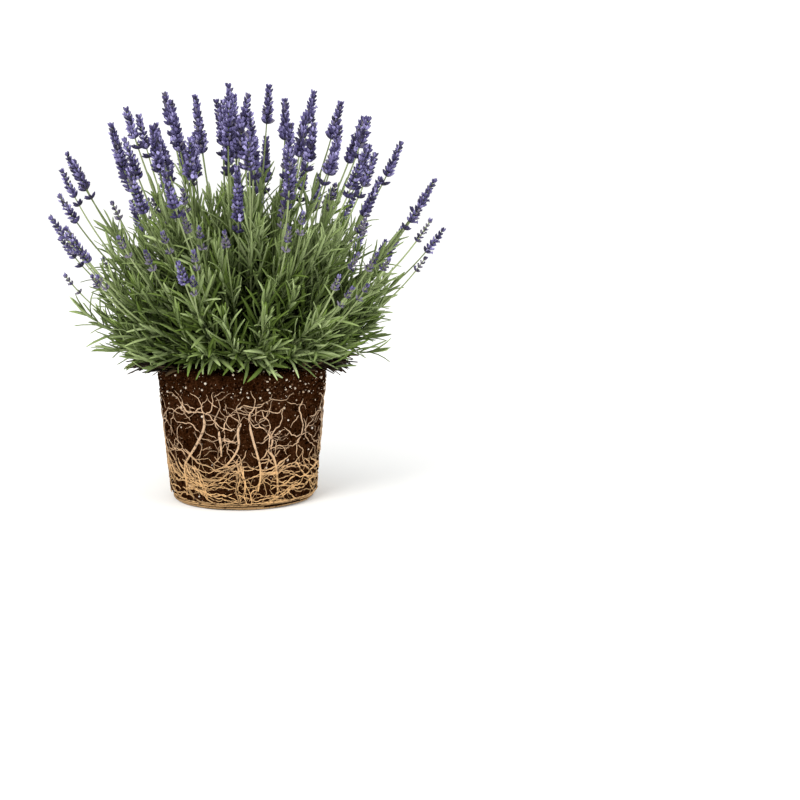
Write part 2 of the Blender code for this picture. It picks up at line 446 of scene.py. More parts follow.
ball_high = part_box("soil_ball")[1]
ring_low, ring_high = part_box("base_root_ring")
RIM_HEIGHT = ball_high.z
TOP_RADIUS = ball_high.x
BASE_RADIUS = ring_high.x
RING_THICKNESS = ring_high.z - ring_low.z
KNOB_RISE = 0.013  # the stems leave the crown this far over the rim
CROWN = Vector((0, 0, RIM_HEIGHT + KNOB_RISE))
FRONT = 270  # the turn that points to -Y
GOLDEN_TURN = 137.508  # spreads what is counted round the plant evenly
FLOWERING = sorted(name[-2:] for name in nodes if name.startswith("flower_spike"))
LOW = sorted(name[-2:] for name in nodes if name.startswith("low_shoot"))
MAIN_ROOTS = sorted(name for name in nodes if name.startswith("main_root"))
SECTORS = 8  # leaves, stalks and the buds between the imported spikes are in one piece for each
STEM_SAMPLES = 48
SEEDS = {
    "stems": 11,
    "crumbs": 21,
    "perlite": 22,
    "root_mat": 32,
    "base_ring": 33,
    "fine_roots": 36,
    "wood": 41,
    "old_leaves": 51,
}


class Stem:
    """A stem that runs from the crown to its tip on a curve with one handle."""

    def __init__(self, start, handle, end, leafy_share=1.0, spike_share=None, number=None):
        shares = np.linspace(0, 1, STEM_SAMPLES)[:, None]
        a, b, c = (np.array(v) for v in (start, handle, end))
        self.path = a * (1 - shares) ** 2 + 2 * b * shares * (1 - shares) + c * shares**2
        steps = np.linalg.norm(np.diff(self.path, axis=0), axis=1)
        self.run = np.concatenate([[0], np.cumsum(steps)])
        self.length = self.run[-1]
        self.leafy_end = leafy_share * self.length
        self.spike_start = None if spike_share is None else spike_share * self.length
        self.number = number
        turn = turn_of(self.path[-1] - np.array(CROWN)) % 360
        self.sector = int((turn + 180 / SECTORS) // (360 / SECTORS)) % SECTORS
        self.seed = int(turn * 100) + int(self.length * 1e5)

    def at(self, distance):
        """The point at a distance along the stem, and the direction there."""
        index = min(max(int(np.searchsorted(self.run, distance)) - 1, 0), STEM_SAMPLES - 2)
        a, b = self.path[index], self.path[index + 1]
        share = (distance - self.run[index]) / (self.run[index + 1] - self.run[index])
        return Vector(a + (b - a) * share), Vector(b - a).normalized()

    def stretch(self, first, last, count):
        return [self.at(d)[0] for d in np.linspace(first, last, count)]


def packed_stem(tip_node, middle_node, number):
    """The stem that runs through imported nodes: its tip from one, its bend from the middle of another."""
    tip_depth, middle_band, leafy_share = 0.0015, 0.16, 0.94
    reach = node_points(tip_node) - np.array(CROWN)
    far = np.linalg.norm(reach, axis=1)
    chord = Vector(reach[far > far.max() - tip_depth].mean(axis=0))
    middle = node_points(middle_node) - np.array(CROWN)
    shares = middle @ np.array(chord) / chord.length_squared
    near = np.abs(shares - 0.5) < middle_band if tip_node == middle_node else shares > 0
    off = Vector(middle[near].mean(axis=0))
    share = off.dot(chord) / chord.length_squared
    bend = (off - chord * share) / (2 * share * (1 - share))
    ends = []
    for node in (f"flower_stalk_{number}", f"flower_spike_{number}"):
        if tip_node != middle_node:
            foot = (node_points(node) - np.array(CROWN)) @ np.array(chord) / chord.length_squared
            ends.append(foot.min())
    ends = ends or (leafy_share,)
    return Stem(CROWN, CROWN + chord / 2 + bend, CROWN + chord, *ends, number=number)


def free_stem(turn, lean, reach, dice, spike=None, bare=0.0):
    """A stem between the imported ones: it leaves low, and straightens up towards its tip."""
    knob_radius, full_bend, flat_lean = 0.008, 0.42, 70
    tilt = math.radians(lean)
    out = outward(turn)
    chord = (out * math.sin(tilt) + UP * math.cos(tilt)) * reach
    below = out * math.cos(tilt) - UP * math.sin(tilt)
    bend = full_bend if lean < flat_lean else full_bend - (lean - flat_lean) * 0.028
    side = out.cross(UP) * reach * dice.uniform(-0.09, 0.09)
    off = Vector((dice.uniform(-1, 1), dice.uniform(-1, 1), dice.uniform(-0.9, 0.2)))
    start = CROWN + off * knob_radius
    handle = start + chord / 2 + below * (reach / 2 * math.tan(bend * tilt)) + side
    if spike is None:
        return Stem(start, handle, start + chord, 0.95)
    return Stem(start, handle, start + chord, 1 - (spike + bare) / reach, 1 - spike / reach)


def inside_box(point):
    return all(cad_low[axis] < point[axis] < cad_high[axis] for axis in range(3))


# The dome of leaves: how far it reaches from the crown at each lean in degrees from upright.
MOUND_LEANS = (0, 40, 60, 75, 85, 95, 105)
MOUND_REACHES = (0.158, 0.168, 0.172, 0.166, 0.157, 0.138, 0.110)
FRONT_CUT = 0.048  # how much less the skirt reaches at the front


def mound_radius(turn, lean):
    """How far the leaves reach from the crown: a dome that draws in at its skirt, more so at the front."""
    reach = float(np.interp(lean, MOUND_LEANS, MOUND_REACHES))
    return reach - frontness(turn) ** 2 * FRONT_CUT * smooth_step(lean, 62, 90)


def smooth_step(value, low, high):
    share = min(max((value - low) / (high - low), 0.0), 1.0)
    return share * share * (3 - 2 * share)


def leafy_stem(index, count, dice):
    """One stem without a flower: the leans go from upright to the skirt as the index rises."""
    dome_share, lowest_lean, tuft = 1.15, 88, 0.020
    rise = 1 - (index + 0.5) / count * dome_share
    lean = math.degrees(math.acos(rise)) + dice.uniform(-4, 4)
    turn = (index * GOLDEN_TURN + dice.uniform(-9, 9)) % 360
    lean = min(abs(lean), lowest_lean - 4 * frontness(turn))
    reach = mound_radius(turn, lean) * dice.uniform(0.80, 1.07) - tuft
    return free_stem(turn, lean, reach, dice)


def flower_stem(index, count, dice):
    """One flowering stem. Every third is short and faded and stands just over the leaves."""
    dome_share, first_turn, tallest = 0.54, 61, 0.264
    share = ((index + 0.5) / count) ** 1.22
    lean = abs(math.degrees(math.acos(1 - share * dome_share)) + dice.uniform(-3, 3))
    turn = (index * GOLDEN_TURN + first_turn + dice.uniform(-10, 10)) % 360
    short = index % 3 == 2
    if not short:
        lean *= 1 - 0.42 * frontness(turn)
    reach = (tallest - 0.050 * smooth_step(lean, 40, 66)) * dice.uniform(0.84, 1.0)
    spike = dice.uniform(0.034, 0.052) - 0.010 * smooth_step(lean, 30, 60)
    if short:
        lean += 7
        reach = mound_radius(turn, lean) + dice.uniform(0.010, 0.034)
        spike *= 0.46
    return free_stem(turn, lean, reach, dice, spike, dice.uniform(0.046, 0.062))


def front_stem(index, dice):
    """One short faded flowering stem: two even series spread them over the front of the dome."""
    turn_step, lean_step, half_width, least_lean = 0.618, 0.414, 64, 40
    turn = FRONT - half_width + 2 * half_width * ((index * turn_step + 0.25) % 1)
    turn += dice.uniform(-4, 4)
    lean = least_lean + 30 * ((index * lean_step + 0.1) % 1) + dice.uniform(-2, 2)
    reach = mound_radius(turn, lean) + dice.uniform(0.012, 0.026)
    spike = dice.uniform(0.014, 0.021)
    return free_stem(turn, lean, reach, dice, spike, dice.uniform(0.040, 0.055))


def all_stems(plant):
    """Every stem of the plant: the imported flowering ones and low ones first, then the ones between."""
    stems = [packed_stem(f"flower_spike_{n}", f"flower_stalk_{n}", n) for n in FLOWERING]
    stems += [packed_stem(f"low_shoot_{n}", f"low_shoot_{n}", n) for n in LOW]
    dice = random.Random(SEEDS["stems"])
    leafy, flowers = plant.leafy_stems, plant.extra_flowers
    stems += [leafy_stem(index, leafy, dice) for index in range(leafy)]
    grown = [flower_stem(index, flowers, dice) for index in range(flowers)]
    grown += [front_stem(index, dice) for index in range(plant.front_spikes)]
    return stems + [stem for stem in grown if inside_box(stem.path[-1])]


# ---------------------------------------------------------------- shapes that repeat


def leaf_shape(bow):
    """A narrow leaf with a grooved top and a keel below; bow curves it up or down along its length."""
    rows = ((0.0, 0.36), (0.14, 0.70), (0.40, 1.0), (0.72, 0.86), (0.93, 0.40), (1.0, 0))
    made = stalk_of_sections(4, [(h, w, 0.5 + w / 2, bow * h * h) for h, w in rows])
    for corner in made.data.vertices:
        if abs(corner.co.x) < 0.01 and corner.co.z < 0.99:
            middle = bow * corner.co.z**2
            corner.co.y = middle + (-0.25 if corner.co.y > middle else -0.75)
    return Shape(made, two_sided=True)


def bud_shape():
    """A closed pointed flower bud."""
    rows = ((0.0, 0.34), (0.28, 0.90), (0.60, 1.0), (0.88, 0.52), (1.0, 0))
    return Shape(stalk_of_sections(6, [(h, w, w, 0.0) for h, w in rows]))


def floret_shape():
    """An open flower: a tube that flares into five lobes round a small mouth."""
    rows = ((0.0, 0.34), (0.50, 0.70), (0.86, 0.85), (1.0, 1.6), (0.95, 0.7), (0.80, 0))
    made = stalk_of_sections(10, [(h, w, w, 0.0) for h, w in rows])
    for corner in made.data.vertices:
        turn = math.degrees(math.atan2(corner.co.y, corner.co.x)) % 72
        if corner.co.z > 0.98 and 18 < turn < 54:
            corner.co.x *= 0.55
            corner.co.y *= 0.55
    return Shape(made)


def crumb_shape(fineness, roughness, seed):
    """A rough grain."""
    made = start("ico_sphere", subdivisions=fineness, radius=0.5, location=(0, 0, 0))
    bpy.ops.transform.vertex_random(offset=roughness, seed=seed)
    bpy.ops.transform.translate(value=(0, 0, 0.5))
    finish_editing()
    return Shape(made)


# ---------------------------------------------------------------- finishes


def leaf_finish(plant):
    """Green with a pale middle rib, painted shade where the tone is low and at the foot of each leaf, and
    grey-green below.
    """
    finish = Recipe("lavender_leaf", roughness=0.6, specular_ior_level=0.08)
    tone, inside, along = finish.toned()
    fibre = finish.streaks(inside, along, 5.0, 40.0, 3.0)
    spots = finish.streaks(inside + tone * 40.0, along, 2.0, 9.0, 2.0)
    shade = tone + (fibre - 0.5) * 0.16 + (spots - 0.5) * 0.2
    stops = ((0.0, plant.leaf_dark), (0.5, plant.leaf_middle), (1.0, plant.leaf_light))
    body = finish.ramp(shade, stops)
    reach = abs(along - 0.5) * 2.0
    rib = 1.0 - abs(inside - 0.5).smooth(0.03, 0.11)
    # Painted shade at the foot of each leaf, where it sits in against its stem, lighter towards its tip; the
    # middle rib is paler.
    body = finish.scaled(body, 0.64 + reach * 0.52 + rib * 0.18)
    middle = 0.5  # the leaf's two sides meet here on its map
    under = 1.0 - along.smooth(middle - 0.008, middle + 0.008)
    pale = finish.mix(0.5, body, finish.scaled(plant.leaf_underside, 0.35 + tone * 0.85))
    roughness = 0.52 + fibre * 0.2 + under * 0.12
    return finish.surface(finish.mix(under, body, pale), roughness, fibre - rib * 0.8, 0.35)


def dry_and_shaded_leaf_finish():
    """Brown to nearly black, with dry fibres: dry-leaf brown that runs into near-black painted shade."""
    finish = Recipe("dry_and_shaded_leaf", roughness=0.8, specular_ior_level=0.15)
    tone, inside, along = finish.toned()
    fibre = finish.streaks(inside, along, 6.0, 30.0, 4.0)
    stops = ((0.0, (0.012, 0.007, 0.004)), (0.6, (0.045, 0.026, 0.013)), (1.0, (0.13, 0.085, 0.04)))
    body = finish.ramp(tone + (fibre - 0.5) * 0.4, stops)
    reach = abs(along - 0.5) * 2.0
    return finish.surface(finish.scaled(body, 1.15 - reach * 0.4), 0.7 + fibre * 0.2, fibre, 0.4)


def stalk_finish(plant):
    """Brown at the foot of a stem, green above, with fine lengthwise ribs."""
    finish = Recipe("lavender_stalk", roughness=0.6, specular_ior_level=0.25)
    tone, inside, along = finish.toned()
    ribs = finish.streaks(inside, along, 14.0, 12.0, 2.0)
    green = finish.mix(tone, plant.stalk_shade, plant.stalk_light)
    height = along.smooth(0.14, 0.42)
    body = finish.mix(height, (0.075, 0.048, 0.026), green)
    return finish.surface(finish.scaled(body, 0.78 + ribs * 0.42), 0.5 + ribs * 0.25, ribs, 0.3)


def flower_finish(plant):
    """Violet buds in their tones, the lowest of them faded, with a downy grey foot."""
    finish = Recipe("violet_bud", roughness=0.7, specular_ior_level=0.15)
    tone, inside, along = finish.toned()
    ribs = finish.streaks(inside, along, 13.0, 3.0, 1.0)
    down = finish.streaks(inside, along, 30.0, 40.0, 2.0)
    stops = (
        (0.0, plant.faded_bud),
        (0.12, shaded(plant.faded_bud, 0.7)),
        (0.22, (0.026, 0.023, 0.045)),
        (0.46, plant.flower_dark),
        (0.74, plant.flower_middle),
        (1.0, plant.flower_bright),
    )
    body = finish.ramp(tone + (ribs - 0.5) * 0.12 + (along - 0.5) * 0.14, stops)
    foot = 1.0 - along.smooth(0.05, 0.42)
    body = finish.mix(foot * 0.5, body, finish.scaled(plant.calyx, 0.6 + ribs * 0.8))
    body = finish.scaled(body, 0.72 + down * 0.55)
    return finish.surface(body, 0.55 + down * 0.35, ribs + down * 0.5, 0.5)


def wood_finish():
    finish = Recipe("lavender_bark", roughness=0.85, specular_ior_level=0.1)
    place = finish.object_place()
    flakes = finish.noise(place, 420.0, 4.0, 0.65)
    cracks = finish.noise(place, 160.0, 3.0)
    stops = ((0.25, (0.018, 0.011, 0.007)), (0.55, (0.085, 0.055, 0.034)), (0.8, (0.19, 0.14, 0.095)))
    body = finish.ramp(flakes * 0.6 + cracks * 0.4, stops)
    return finish.surface(body, 0.75 + flakes * 0.2, flakes + cracks, 0.8, 0.0008)


def shaded(colour, factor):
    return tuple(channel * factor for channel in colour)


def soil_finish(ball):
    """Dark peat with paler patches, dust and grains."""
    finish = Recipe("potting_mix", roughness=0.95, specular_ior_level=0.0)
    place = finish.object_place()
    cells = {"Vector": place, "Scale": 520.0, "Randomness": 1.0}
    grains = finish.node("ShaderNodeTexVoronoi", {}, cells)
    patches = finish.noise(place, 70.0, 4.0, 0.6)
    dust = finish.noise(place, 900.0, 3.0)
    stops = (
        (0.26, shaded(ball.soil, 0.16)),
        (0.48, shaded(ball.soil, 0.9)),
        (0.70, (0.044, 0.016, 0.006)),
    )
    body = finish.ramp(patches * 0.45 + dust * 0.3 + grains * 0.35, stops)
    return finish.surface(body, 0.85 + dust * 0.15, dust + grains * 1.4, 0.9, 0.0008)


def crumb_finish(ball):
    finish = Recipe("potting_crumb", roughness=0.95, specular_ior_level=0.0)
    tone, inside, along = finish.toned()
    rough = finish.streaks(inside, along, 6.0, 6.0, 4.0, 0.7)
    stops = (
        (0.0, shaded(ball.soil, 0.15)),
        (0.45, shaded(ball.soil, 0.8)),
        (0.8, (0.052, 0.020, 0.008)),
        (1.0, (0.15, 0.085, 0.048)),
    )
    body = finish.ramp(tone + (rough - 0.5) * 0.5, stops)
    return finish.surface(body, 0.85 + rough * 0.15, rough, 0.8)


def perlite_finish(ball):
    finish = Recipe("perlite", roughness=0.85, specular_ior_level=0.2)
    tone, inside, along = finish.toned()
    pores = finish.streaks(inside, along, 9.0, 9.0, 4.0, 0.7)
    body = finish.mix(tone, ball.perlite, (0.76, 0.67, 0.56))
    return finish.surface(finish.scaled(body, 0.62 + pores * 0.62), 0.8 + pores * 0.15, pores, 0.7)


def root_finish(ball, name):
    """Cream high on the ball and golden low on it, with soil that clings in patches."""
    finish = Recipe(name, roughness=0.7, specular_ior_level=0.2)
    tone, inside, along = finish.toned()
    place = finish.object_place()
    height = finish.node("ShaderNodeSeparateXYZ", {}, {0: place}, 2)
    gold = 1.0 - height.smooth(0.022, 0.075)
    body = finish.mix(gold, ball.root_high, ball.root_low)
    body = finish.scaled(body, 0.30 + tone * 0.95)
    rings = finish.streaks(inside, along, 2.0, 60.0, 3.0)
    cling = finish.noise(place, 260.0, 3.0, 0.6).smooth(0.52, 0.66)
    body = finish.mix(cling * 0.75, body, shaded(ball.soil, 1.7))
    return finish.surface(finish.scaled(body, 0.75 + rings * 0.5), 0.6 + rings * 0.25, rings, 0.35)


# ---------------------------------------------------------------- sizes and colours


def length_setting(name, description, default):
    return FloatProperty(name=name, description=description, default=default, min=0.0, unit="LENGTH")


def colour_setting(name, description, default):
    limits = {"size": 3, "min": 0.0, "max": 1.0, "subtype": "COLOR"}
    return FloatVectorProperty(name=name, description=description, default=default, **limits)


def count_setting(name, description, default):
    return IntProperty(name=name, description=description, default=default, min=1)


class LavenderFoliage(PropertyGroup):
    leafy_stems: count_setting("Leafy stems", "Stems without a flower between the packed ones", 140)
    extra_flowers: count_setting("Extra flowers", "Flowering stems between the packed ones", 96)
    front_spikes: count_setting("Front spikes", "Short faded spikes low on the front", 13)
    # The old leaves are dry leaves whose near-black brown is partly painted shade under the skirt of leaves.
    old_leaves: count_setting("Old leaves", "Dry leaves round the rim of the ball", 330)
    leaf_length: length_setting("Leaf length", "Length of a full leaf halfway up a stem", 0.038)
    leaf_width: length_setting("Leaf width", "Width of a full leaf", 0.0039)
    leaf_pitch: length_setting("Leaf pitch", "Distance between two pairs of leaves", 0.0095)
    bud_length: length_setting("Bud length", "Length of a bud at the foot of a spike", 0.0063)
    whorl_pitch: length_setting("Whorl pitch", "Distance between two rings of buds", 0.0043)
    # The deep leaf colour is painted shade, and the young leaf colour is young growth with painted light on
    # it.
    leaf_dark: colour_setting("Deep leaf", "Colour of leaves deep in the plant", (0.012, 0.026, 0.001))
    leaf_middle: colour_setting("Leaf", "Colour of most leaves", (0.125, 0.185, 0.036))
    leaf_light: colour_setting("Young leaf", "Colour of the youngest leaves", (0.45, 0.54, 0.265))
    leaf_underside: colour_setting("Underside", "Colour under a leaf", (0.23, 0.29, 0.13))
    stalk_shade: colour_setting("Stalk", "Colour of the darker stalks", (0.12, 0.16, 0.05))
    stalk_light: colour_setting("Pale stalk", "Colour of the paler stalks", (0.32, 0.38, 0.18))
    calyx: colour_setting("Calyx", "Colour of the foot of a bud", (0.080, 0.076, 0.090))
    faded_bud: colour_setting("Faded bud", "Colour of the faded buds", (0.21, 0.19, 0.25))
    flower_dark: colour_setting("Dark bud", "Colour of the darker buds", (0.068, 0.057, 0.152))
    flower_middle: colour_setting("Bud", "Colour of most buds", (0.175, 0.155, 0.325))
    flower_bright: colour_setting("Bright petal", "Colour of the brightest petals", (0.34, 0.31, 0.56))


class LavenderBall(PropertyGroup):
    crumbs: count_setting("Crumbs", "Loose crumbs on the ball", 9200)
    grains: count_setting("Perlite grains", "Grains of perlite on the ball", 540)
    fine_roots: count_setting("Fine roots", "Roots that run down the ball and branch", 50)
    mat_roots: count_setting("Mat roots", "Roots that sweep round the foot of the ball", 136)
    ring_roots: count_setting("Ring roots", "Roots that circle the bottom edge", 12)
    soil: colour_setting("Potting mix", "Colour of the potting mix", (0.020, 0.0056, 0.0012))
    perlite: colour_setting("Perlite", "Colour of the darker grains", (0.50, 0.36, 0.24))
    root_high: colour_setting("High roots", "Colour of roots high on the ball", (0.50, 0.34, 0.215))
    root_low: colour_setting("Low roots", "Colour of roots low on the ball", (0.56, 0.345, 0.155))


class LavenderStudio(PropertyGroup):
    floor: colour_setting("Floor", "Colour of the floor", (0.90, 0.90, 0.89))
    camera_distance: length_setting("Camera distance", "From the camera to the foot of the plant", 1.889)
    camera_height: length_setting("Camera height", "Height of the camera above the floor", 0.44)
    lens: FloatProperty(
        name="Lens", description="Focal length of the camera", default=85.0, min=1.0, unit="CAMERA"
    )


# ---------------------------------------------------------------- soil and roots


def on_ball(turn, height, off):
    """A point at a distance off the tapered side of the ball."""
    radius = BASE_RADIUS + (TOP_RADIUS - BASE_RADIUS) * height / RIM_HEIGHT + off
    return outward(turn) * radius + UP * height


class LAVENDER_OT_soil_ball(Operator):
    """Models the ball of potting mix: a turned body with a rough, crumbly side and top"""

    bl_idname = "lavender.soil_ball"
    bl_label = "Soil ball"

    def execute(self, context):
        rim_round, bands, base_flat = 0.006, 44, 0.0008
        notch_radius = -ring_low.x - RING_THICKNESS
        radius, height = notch_radius, 0.0
        made = start("circle", vertices=200, radius=radius, fill_type="NGON", location=(0, 0, 0))
        made.name = "soil_ball_mix"
        rows = [(notch_radius, ring_high.z)]
        side_height = RIM_HEIGHT - rim_round - ring_high.z
        side = [ring_high.z + side_height * band / bands for band in range(bands + 1)]
        slope = (TOP_RADIUS - BASE_RADIUS) / RIM_HEIGHT
        rows += [(BASE_RADIUS + slope * level, level) for level in side]
        rim = rows[-1][0]
        for angle in map(math.radians, (30, 60, 90)):
            inward, upward = rim_round * (1 - math.cos(angle)), rim_round * math.sin(angle)
            rows.append((rim - inward, side[-1] + upward))
        for share in (0.96, 0.9, 0.82, 0.72, 0.6, 0.46, 0.3, 0.12):
            rows.append(((rim - rim_round) * share, RIM_HEIGHT))
        for new_radius, new_height in rows:
            extrude((0, 0, new_height - height), (new_radius / radius, new_radius / radius, 1))
            radius, height = new_radius, new_height
        finish_editing()
        rough = made.vertex_groups.new(name="rough")
        rough.add([v.index for v in made.data.vertices if v.co.z > base_flat], 1.0, "REPLACE")
        fine = made.modifiers.new("finer", "SUBSURF")
        fine.subdivision_type = "SIMPLE"
        fine.levels = fine.render_levels = 1
        for name, kind, size, strength in (
            ("lumps", "CLOUDS", 0.011, 0.0030),
            ("crumbs", "VORONOI", 0.0042, 0.0020),
            ("grit", "CLOUDS", 0.0018, 0.0014),
        ):
            texture = bpy.data.textures.new(name, kind)
            texture.noise_scale = size
            press = made.modifiers.new(name, "DISPLACE")
            press.texture = texture
            press.strength = strength
            press.mid_level = 0.6
            press.vertex_group = "rough"
        bake_into_mesh(made)
        for corner in made.data.vertices:
            corner.co.z = max(corner.co.z, 0.0)
        made.data.shade_smooth()
        settle(made, soil_finish(context.scene.lavender_ball), ["soil_ball"])
        return {"FINISHED"}


def scatter(heap, shapes, dice, count, small, large, high_share, sink):
    """Grains on the side and the top of the ball, each sunk into it by a share of its size."""
    top_share, rim_gap, foot_gap, smallness = 0.2, 0.003, 0.008, 2.2
    for _ in range(count):
        size = small + (large - small) * dice.random() ** smallness
        if dice.random() < top_share:
            place = outward(dice.uniform(0, 360)) * (TOP_RADIUS - rim_gap) * math.sqrt(dice.random())
            place.z = RIM_HEIGHT
            out = UP
        else:
            turn = dice.uniform(0, 360)
            share = dice.random()
            if dice.random() < high_share:
                share = 1 - 0.2 * share
            out = outward(turn)
            place = on_ball(turn, foot_gap + (RIM_HEIGHT - 0.010) * share, 0.0)
        tilt = Vector([dice.gauss(0, 0.4) for _ in range(3)])
        along = (out + tilt).normalized()
        top = along.orthogonal().normalized()
        top.rotate(Matrix.Rotation(dice.uniform(0, math.tau), 3, along))
        wide, thick = dice.uniform(0.75, 1.2), dice.uniform(0.7, 1.1)
        base = place - out * size * sink
        matrix = facing(base, along, top, size * wide, size * thick, size)
        heap.copy(dice.choice(shapes), matrix, dice.uniform(0.0, 1.0))


class LAVENDER_OT_crumbs(Operator):
    """Scatters crumbs of potting mix over the ball"""

    bl_idname = "lavender.crumbs"
    bl_label = "Crumbs"

    def execute(self, context):
        ball = context.scene.lavender_ball
        shapes = [crumb_shape(1, 0.16, seed) for seed in (1, 2, 3, 4)]
        heap = Heap()
        dice = random.Random(SEEDS["crumbs"])
        scatter(heap, shapes, dice, ball.crumbs, 0.0009, 0.0026, high_share=0.1, sink=0.42)
        heap.piece("soil_crumbs", crumb_finish(ball), "soil", smooth=False)
        return {"FINISHED"}


class LAVENDER_OT_perlite(Operator):
    """Scatters pale grains of perlite, most of them near the rim"""

    bl_idname = "lavender.perlite"
    bl_label = "Perlite"

    def execute(self, context):
        ball = context.scene.lavender_ball
        shapes = [crumb_shape(2, 0.07, seed) for seed in (5, 6, 7)]
        heap = Heap()
        dice = random.Random(SEEDS["perlite"])
        scatter(heap, shapes, dice, ball.grains, 0.0006, 0.0030, high_share=0.45, sink=0.35)
        heap.piece("perlite_grains", perlite_finish(ball), "soil")
        return {"FINISHED"}


def either_side(dice, least, most):
    return dice.choice((-1, 1)) * dice.uniform(least, most)


def root_path(dice, turn, height, heading, length, low, turning=0.0, wander=1.0):
    """A root on the side of the ball: it sways in long and short curves as it runs along its heading."""
    step, depth, soil_cover = 0.0024, 0.0009, 0.014
    long_wave, short_wave = dice.uniform(0.022, 0.045), dice.uniform(0.008, 0.014)
    long_phase, short_phase = dice.uniform(0, math.tau), dice.uniform(0, math.tau)
    path = []
    for index in range(max(int(length / step), 4)):
        run = index * step
        sway = heading + turning * run
        sway += 0.52 * wander * math.sin(run / long_wave * math.tau + long_phase)
        sway += 0.26 * wander * math.sin(run / short_wave * math.tau + short_phase)
        turn += math.degrees(step * math.cos(sway) / (BASE_RADIUS + 0.006))
        height += step * math.sin(sway)
        if height > RIM_HEIGHT - soil_cover:
            break
        dip = 0.0004 * math.sin(run / 0.017 * math.tau + short_phase)
        path.append(on_ball(turn, max(height, low) + 0.0004 * math.sin(run * 900), depth + dip))
    return path


def taper(path, thick, end_share=0.4):
    """Thin where a root comes out of the soil, full soon after, and thinner to its tip."""
    shares = np.linspace(0, 1, len(path))
    return thick * np.interp(shares, (0.0, 0.12, 1.0), (0.5, 1.0, end_share))


def root_line(name):
    """A smooth line down the middle of a packed root, from its top."""
    knot_corners, places, rounds = 10, 44, 8
    corners = node_points(name)
    order = np.argsort(-corners[:, 2])
    count = max(len(order) // knot_corners, 4)
    knots = np.array([corners[part].mean(axis=0) for part in np.array_split(order, count)])
    shares = np.linspace(0, count - 1, places)
    path = np.stack([np.interp(shares, range(count), knots[:, axis]) for axis in range(3)], 1)
    for _ in range(rounds):
        path[1:-1] = (path[:-2] + path[1:-1] * 2 + path[2:]) / 4
    return path


class LAVENDER_OT_main_roots(Operator):
    """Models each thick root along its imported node"""

    bl_idname = "lavender.main_roots"
    bl_label = "Main roots"

    def execute(self, context):
        finish = root_finish(context.scene.lavender_ball, "thick_root")
        for name in MAIN_ROOTS:
            path = root_line(name)
            dice = random.Random(name)
            radii = taper(path, 0.00125, 0.62) * [dice.uniform(0.9, 1.1) for _ in path]
            heap = Heap(name)
            heap.strand(path, radii, tone=0.75, sides=10)
            heap.piece(f"thick_{name}", finish, "root")
        return {"FINISHED"}


def branching_root(heap, dice, turn, height, heading, length, thick, forks):
    """A root with side roots, which fork again where they are thick enough."""
    path = root_path(dice, turn, height, heading, length, 0.008)
    if len(path) < 5:
        return
    heap.strand(path, taper(path, thick), dice.uniform(0.45, 1.0))
    for _ in range(forks):
        fork = dice.choice(path[1:-3])
        side = heading + either_side(dice, 0.6, 1.15)
        thin = thick * dice.uniform(0.55, 0.78)
        reach = length * dice.uniform(0.25, 0.55)
        more = 2 if forks > 2 else 0
        branching_root(heap, dice, turn_of(fork), fork.z, side, reach, thin, more)


class LAVENDER_OT_fine_roots(Operator):
    """Models the net of roots that run down the ball and branch"""

    bl_idname = "lavender.fine_roots"
    bl_label = "Fine roots"

    def execute(self, context):
        ball = context.scene.lavender_ball
        dice = random.Random(SEEDS["fine_roots"])
        heap = Heap()
        up, down = math.pi / 2, -math.pi / 2
        for name in MAIN_ROOTS:
            line = root_line(name)
            starts = [(place, up, 0.3, 1.5) for place in line[2:30:10]]
            starts += [(line[1], up, 0.0, 0.5), (line[-3], down, 0.3, 0.8)]
            for place, middle, least, most in starts:
                heading = middle + either_side(dice, least, most)
                length, thick = dice.uniform(0.018, 0.050), dice.uniform(0.00045, 0.00080)
                branching_root(heap, dice, turn_of(place), place[2], heading, length, thick, 2)
        for index in range(ball.fine_roots):
            turn = index * GOLDEN_TURN + dice.uniform(-8, 8)
            height = RIM_HEIGHT * dice.uniform(0.46, 0.82)
            heading = down + either_side(dice, 0.0, 0.7)
            if index % 5 < 2:
                heading = dice.choice((0.0, math.pi)) + dice.uniform(-0.45, 0.25)
            thick = dice.uniform(0.00040, 0.00072)
            length = dice.uniform(0.045, 0.100)
            branching_root(heap, dice, turn, height, heading, length, thick, dice.randint(2, 4))
        heap.piece("fine_roots", root_finish(ball, "fine_root"), "root")
        return {"FINISHED"}


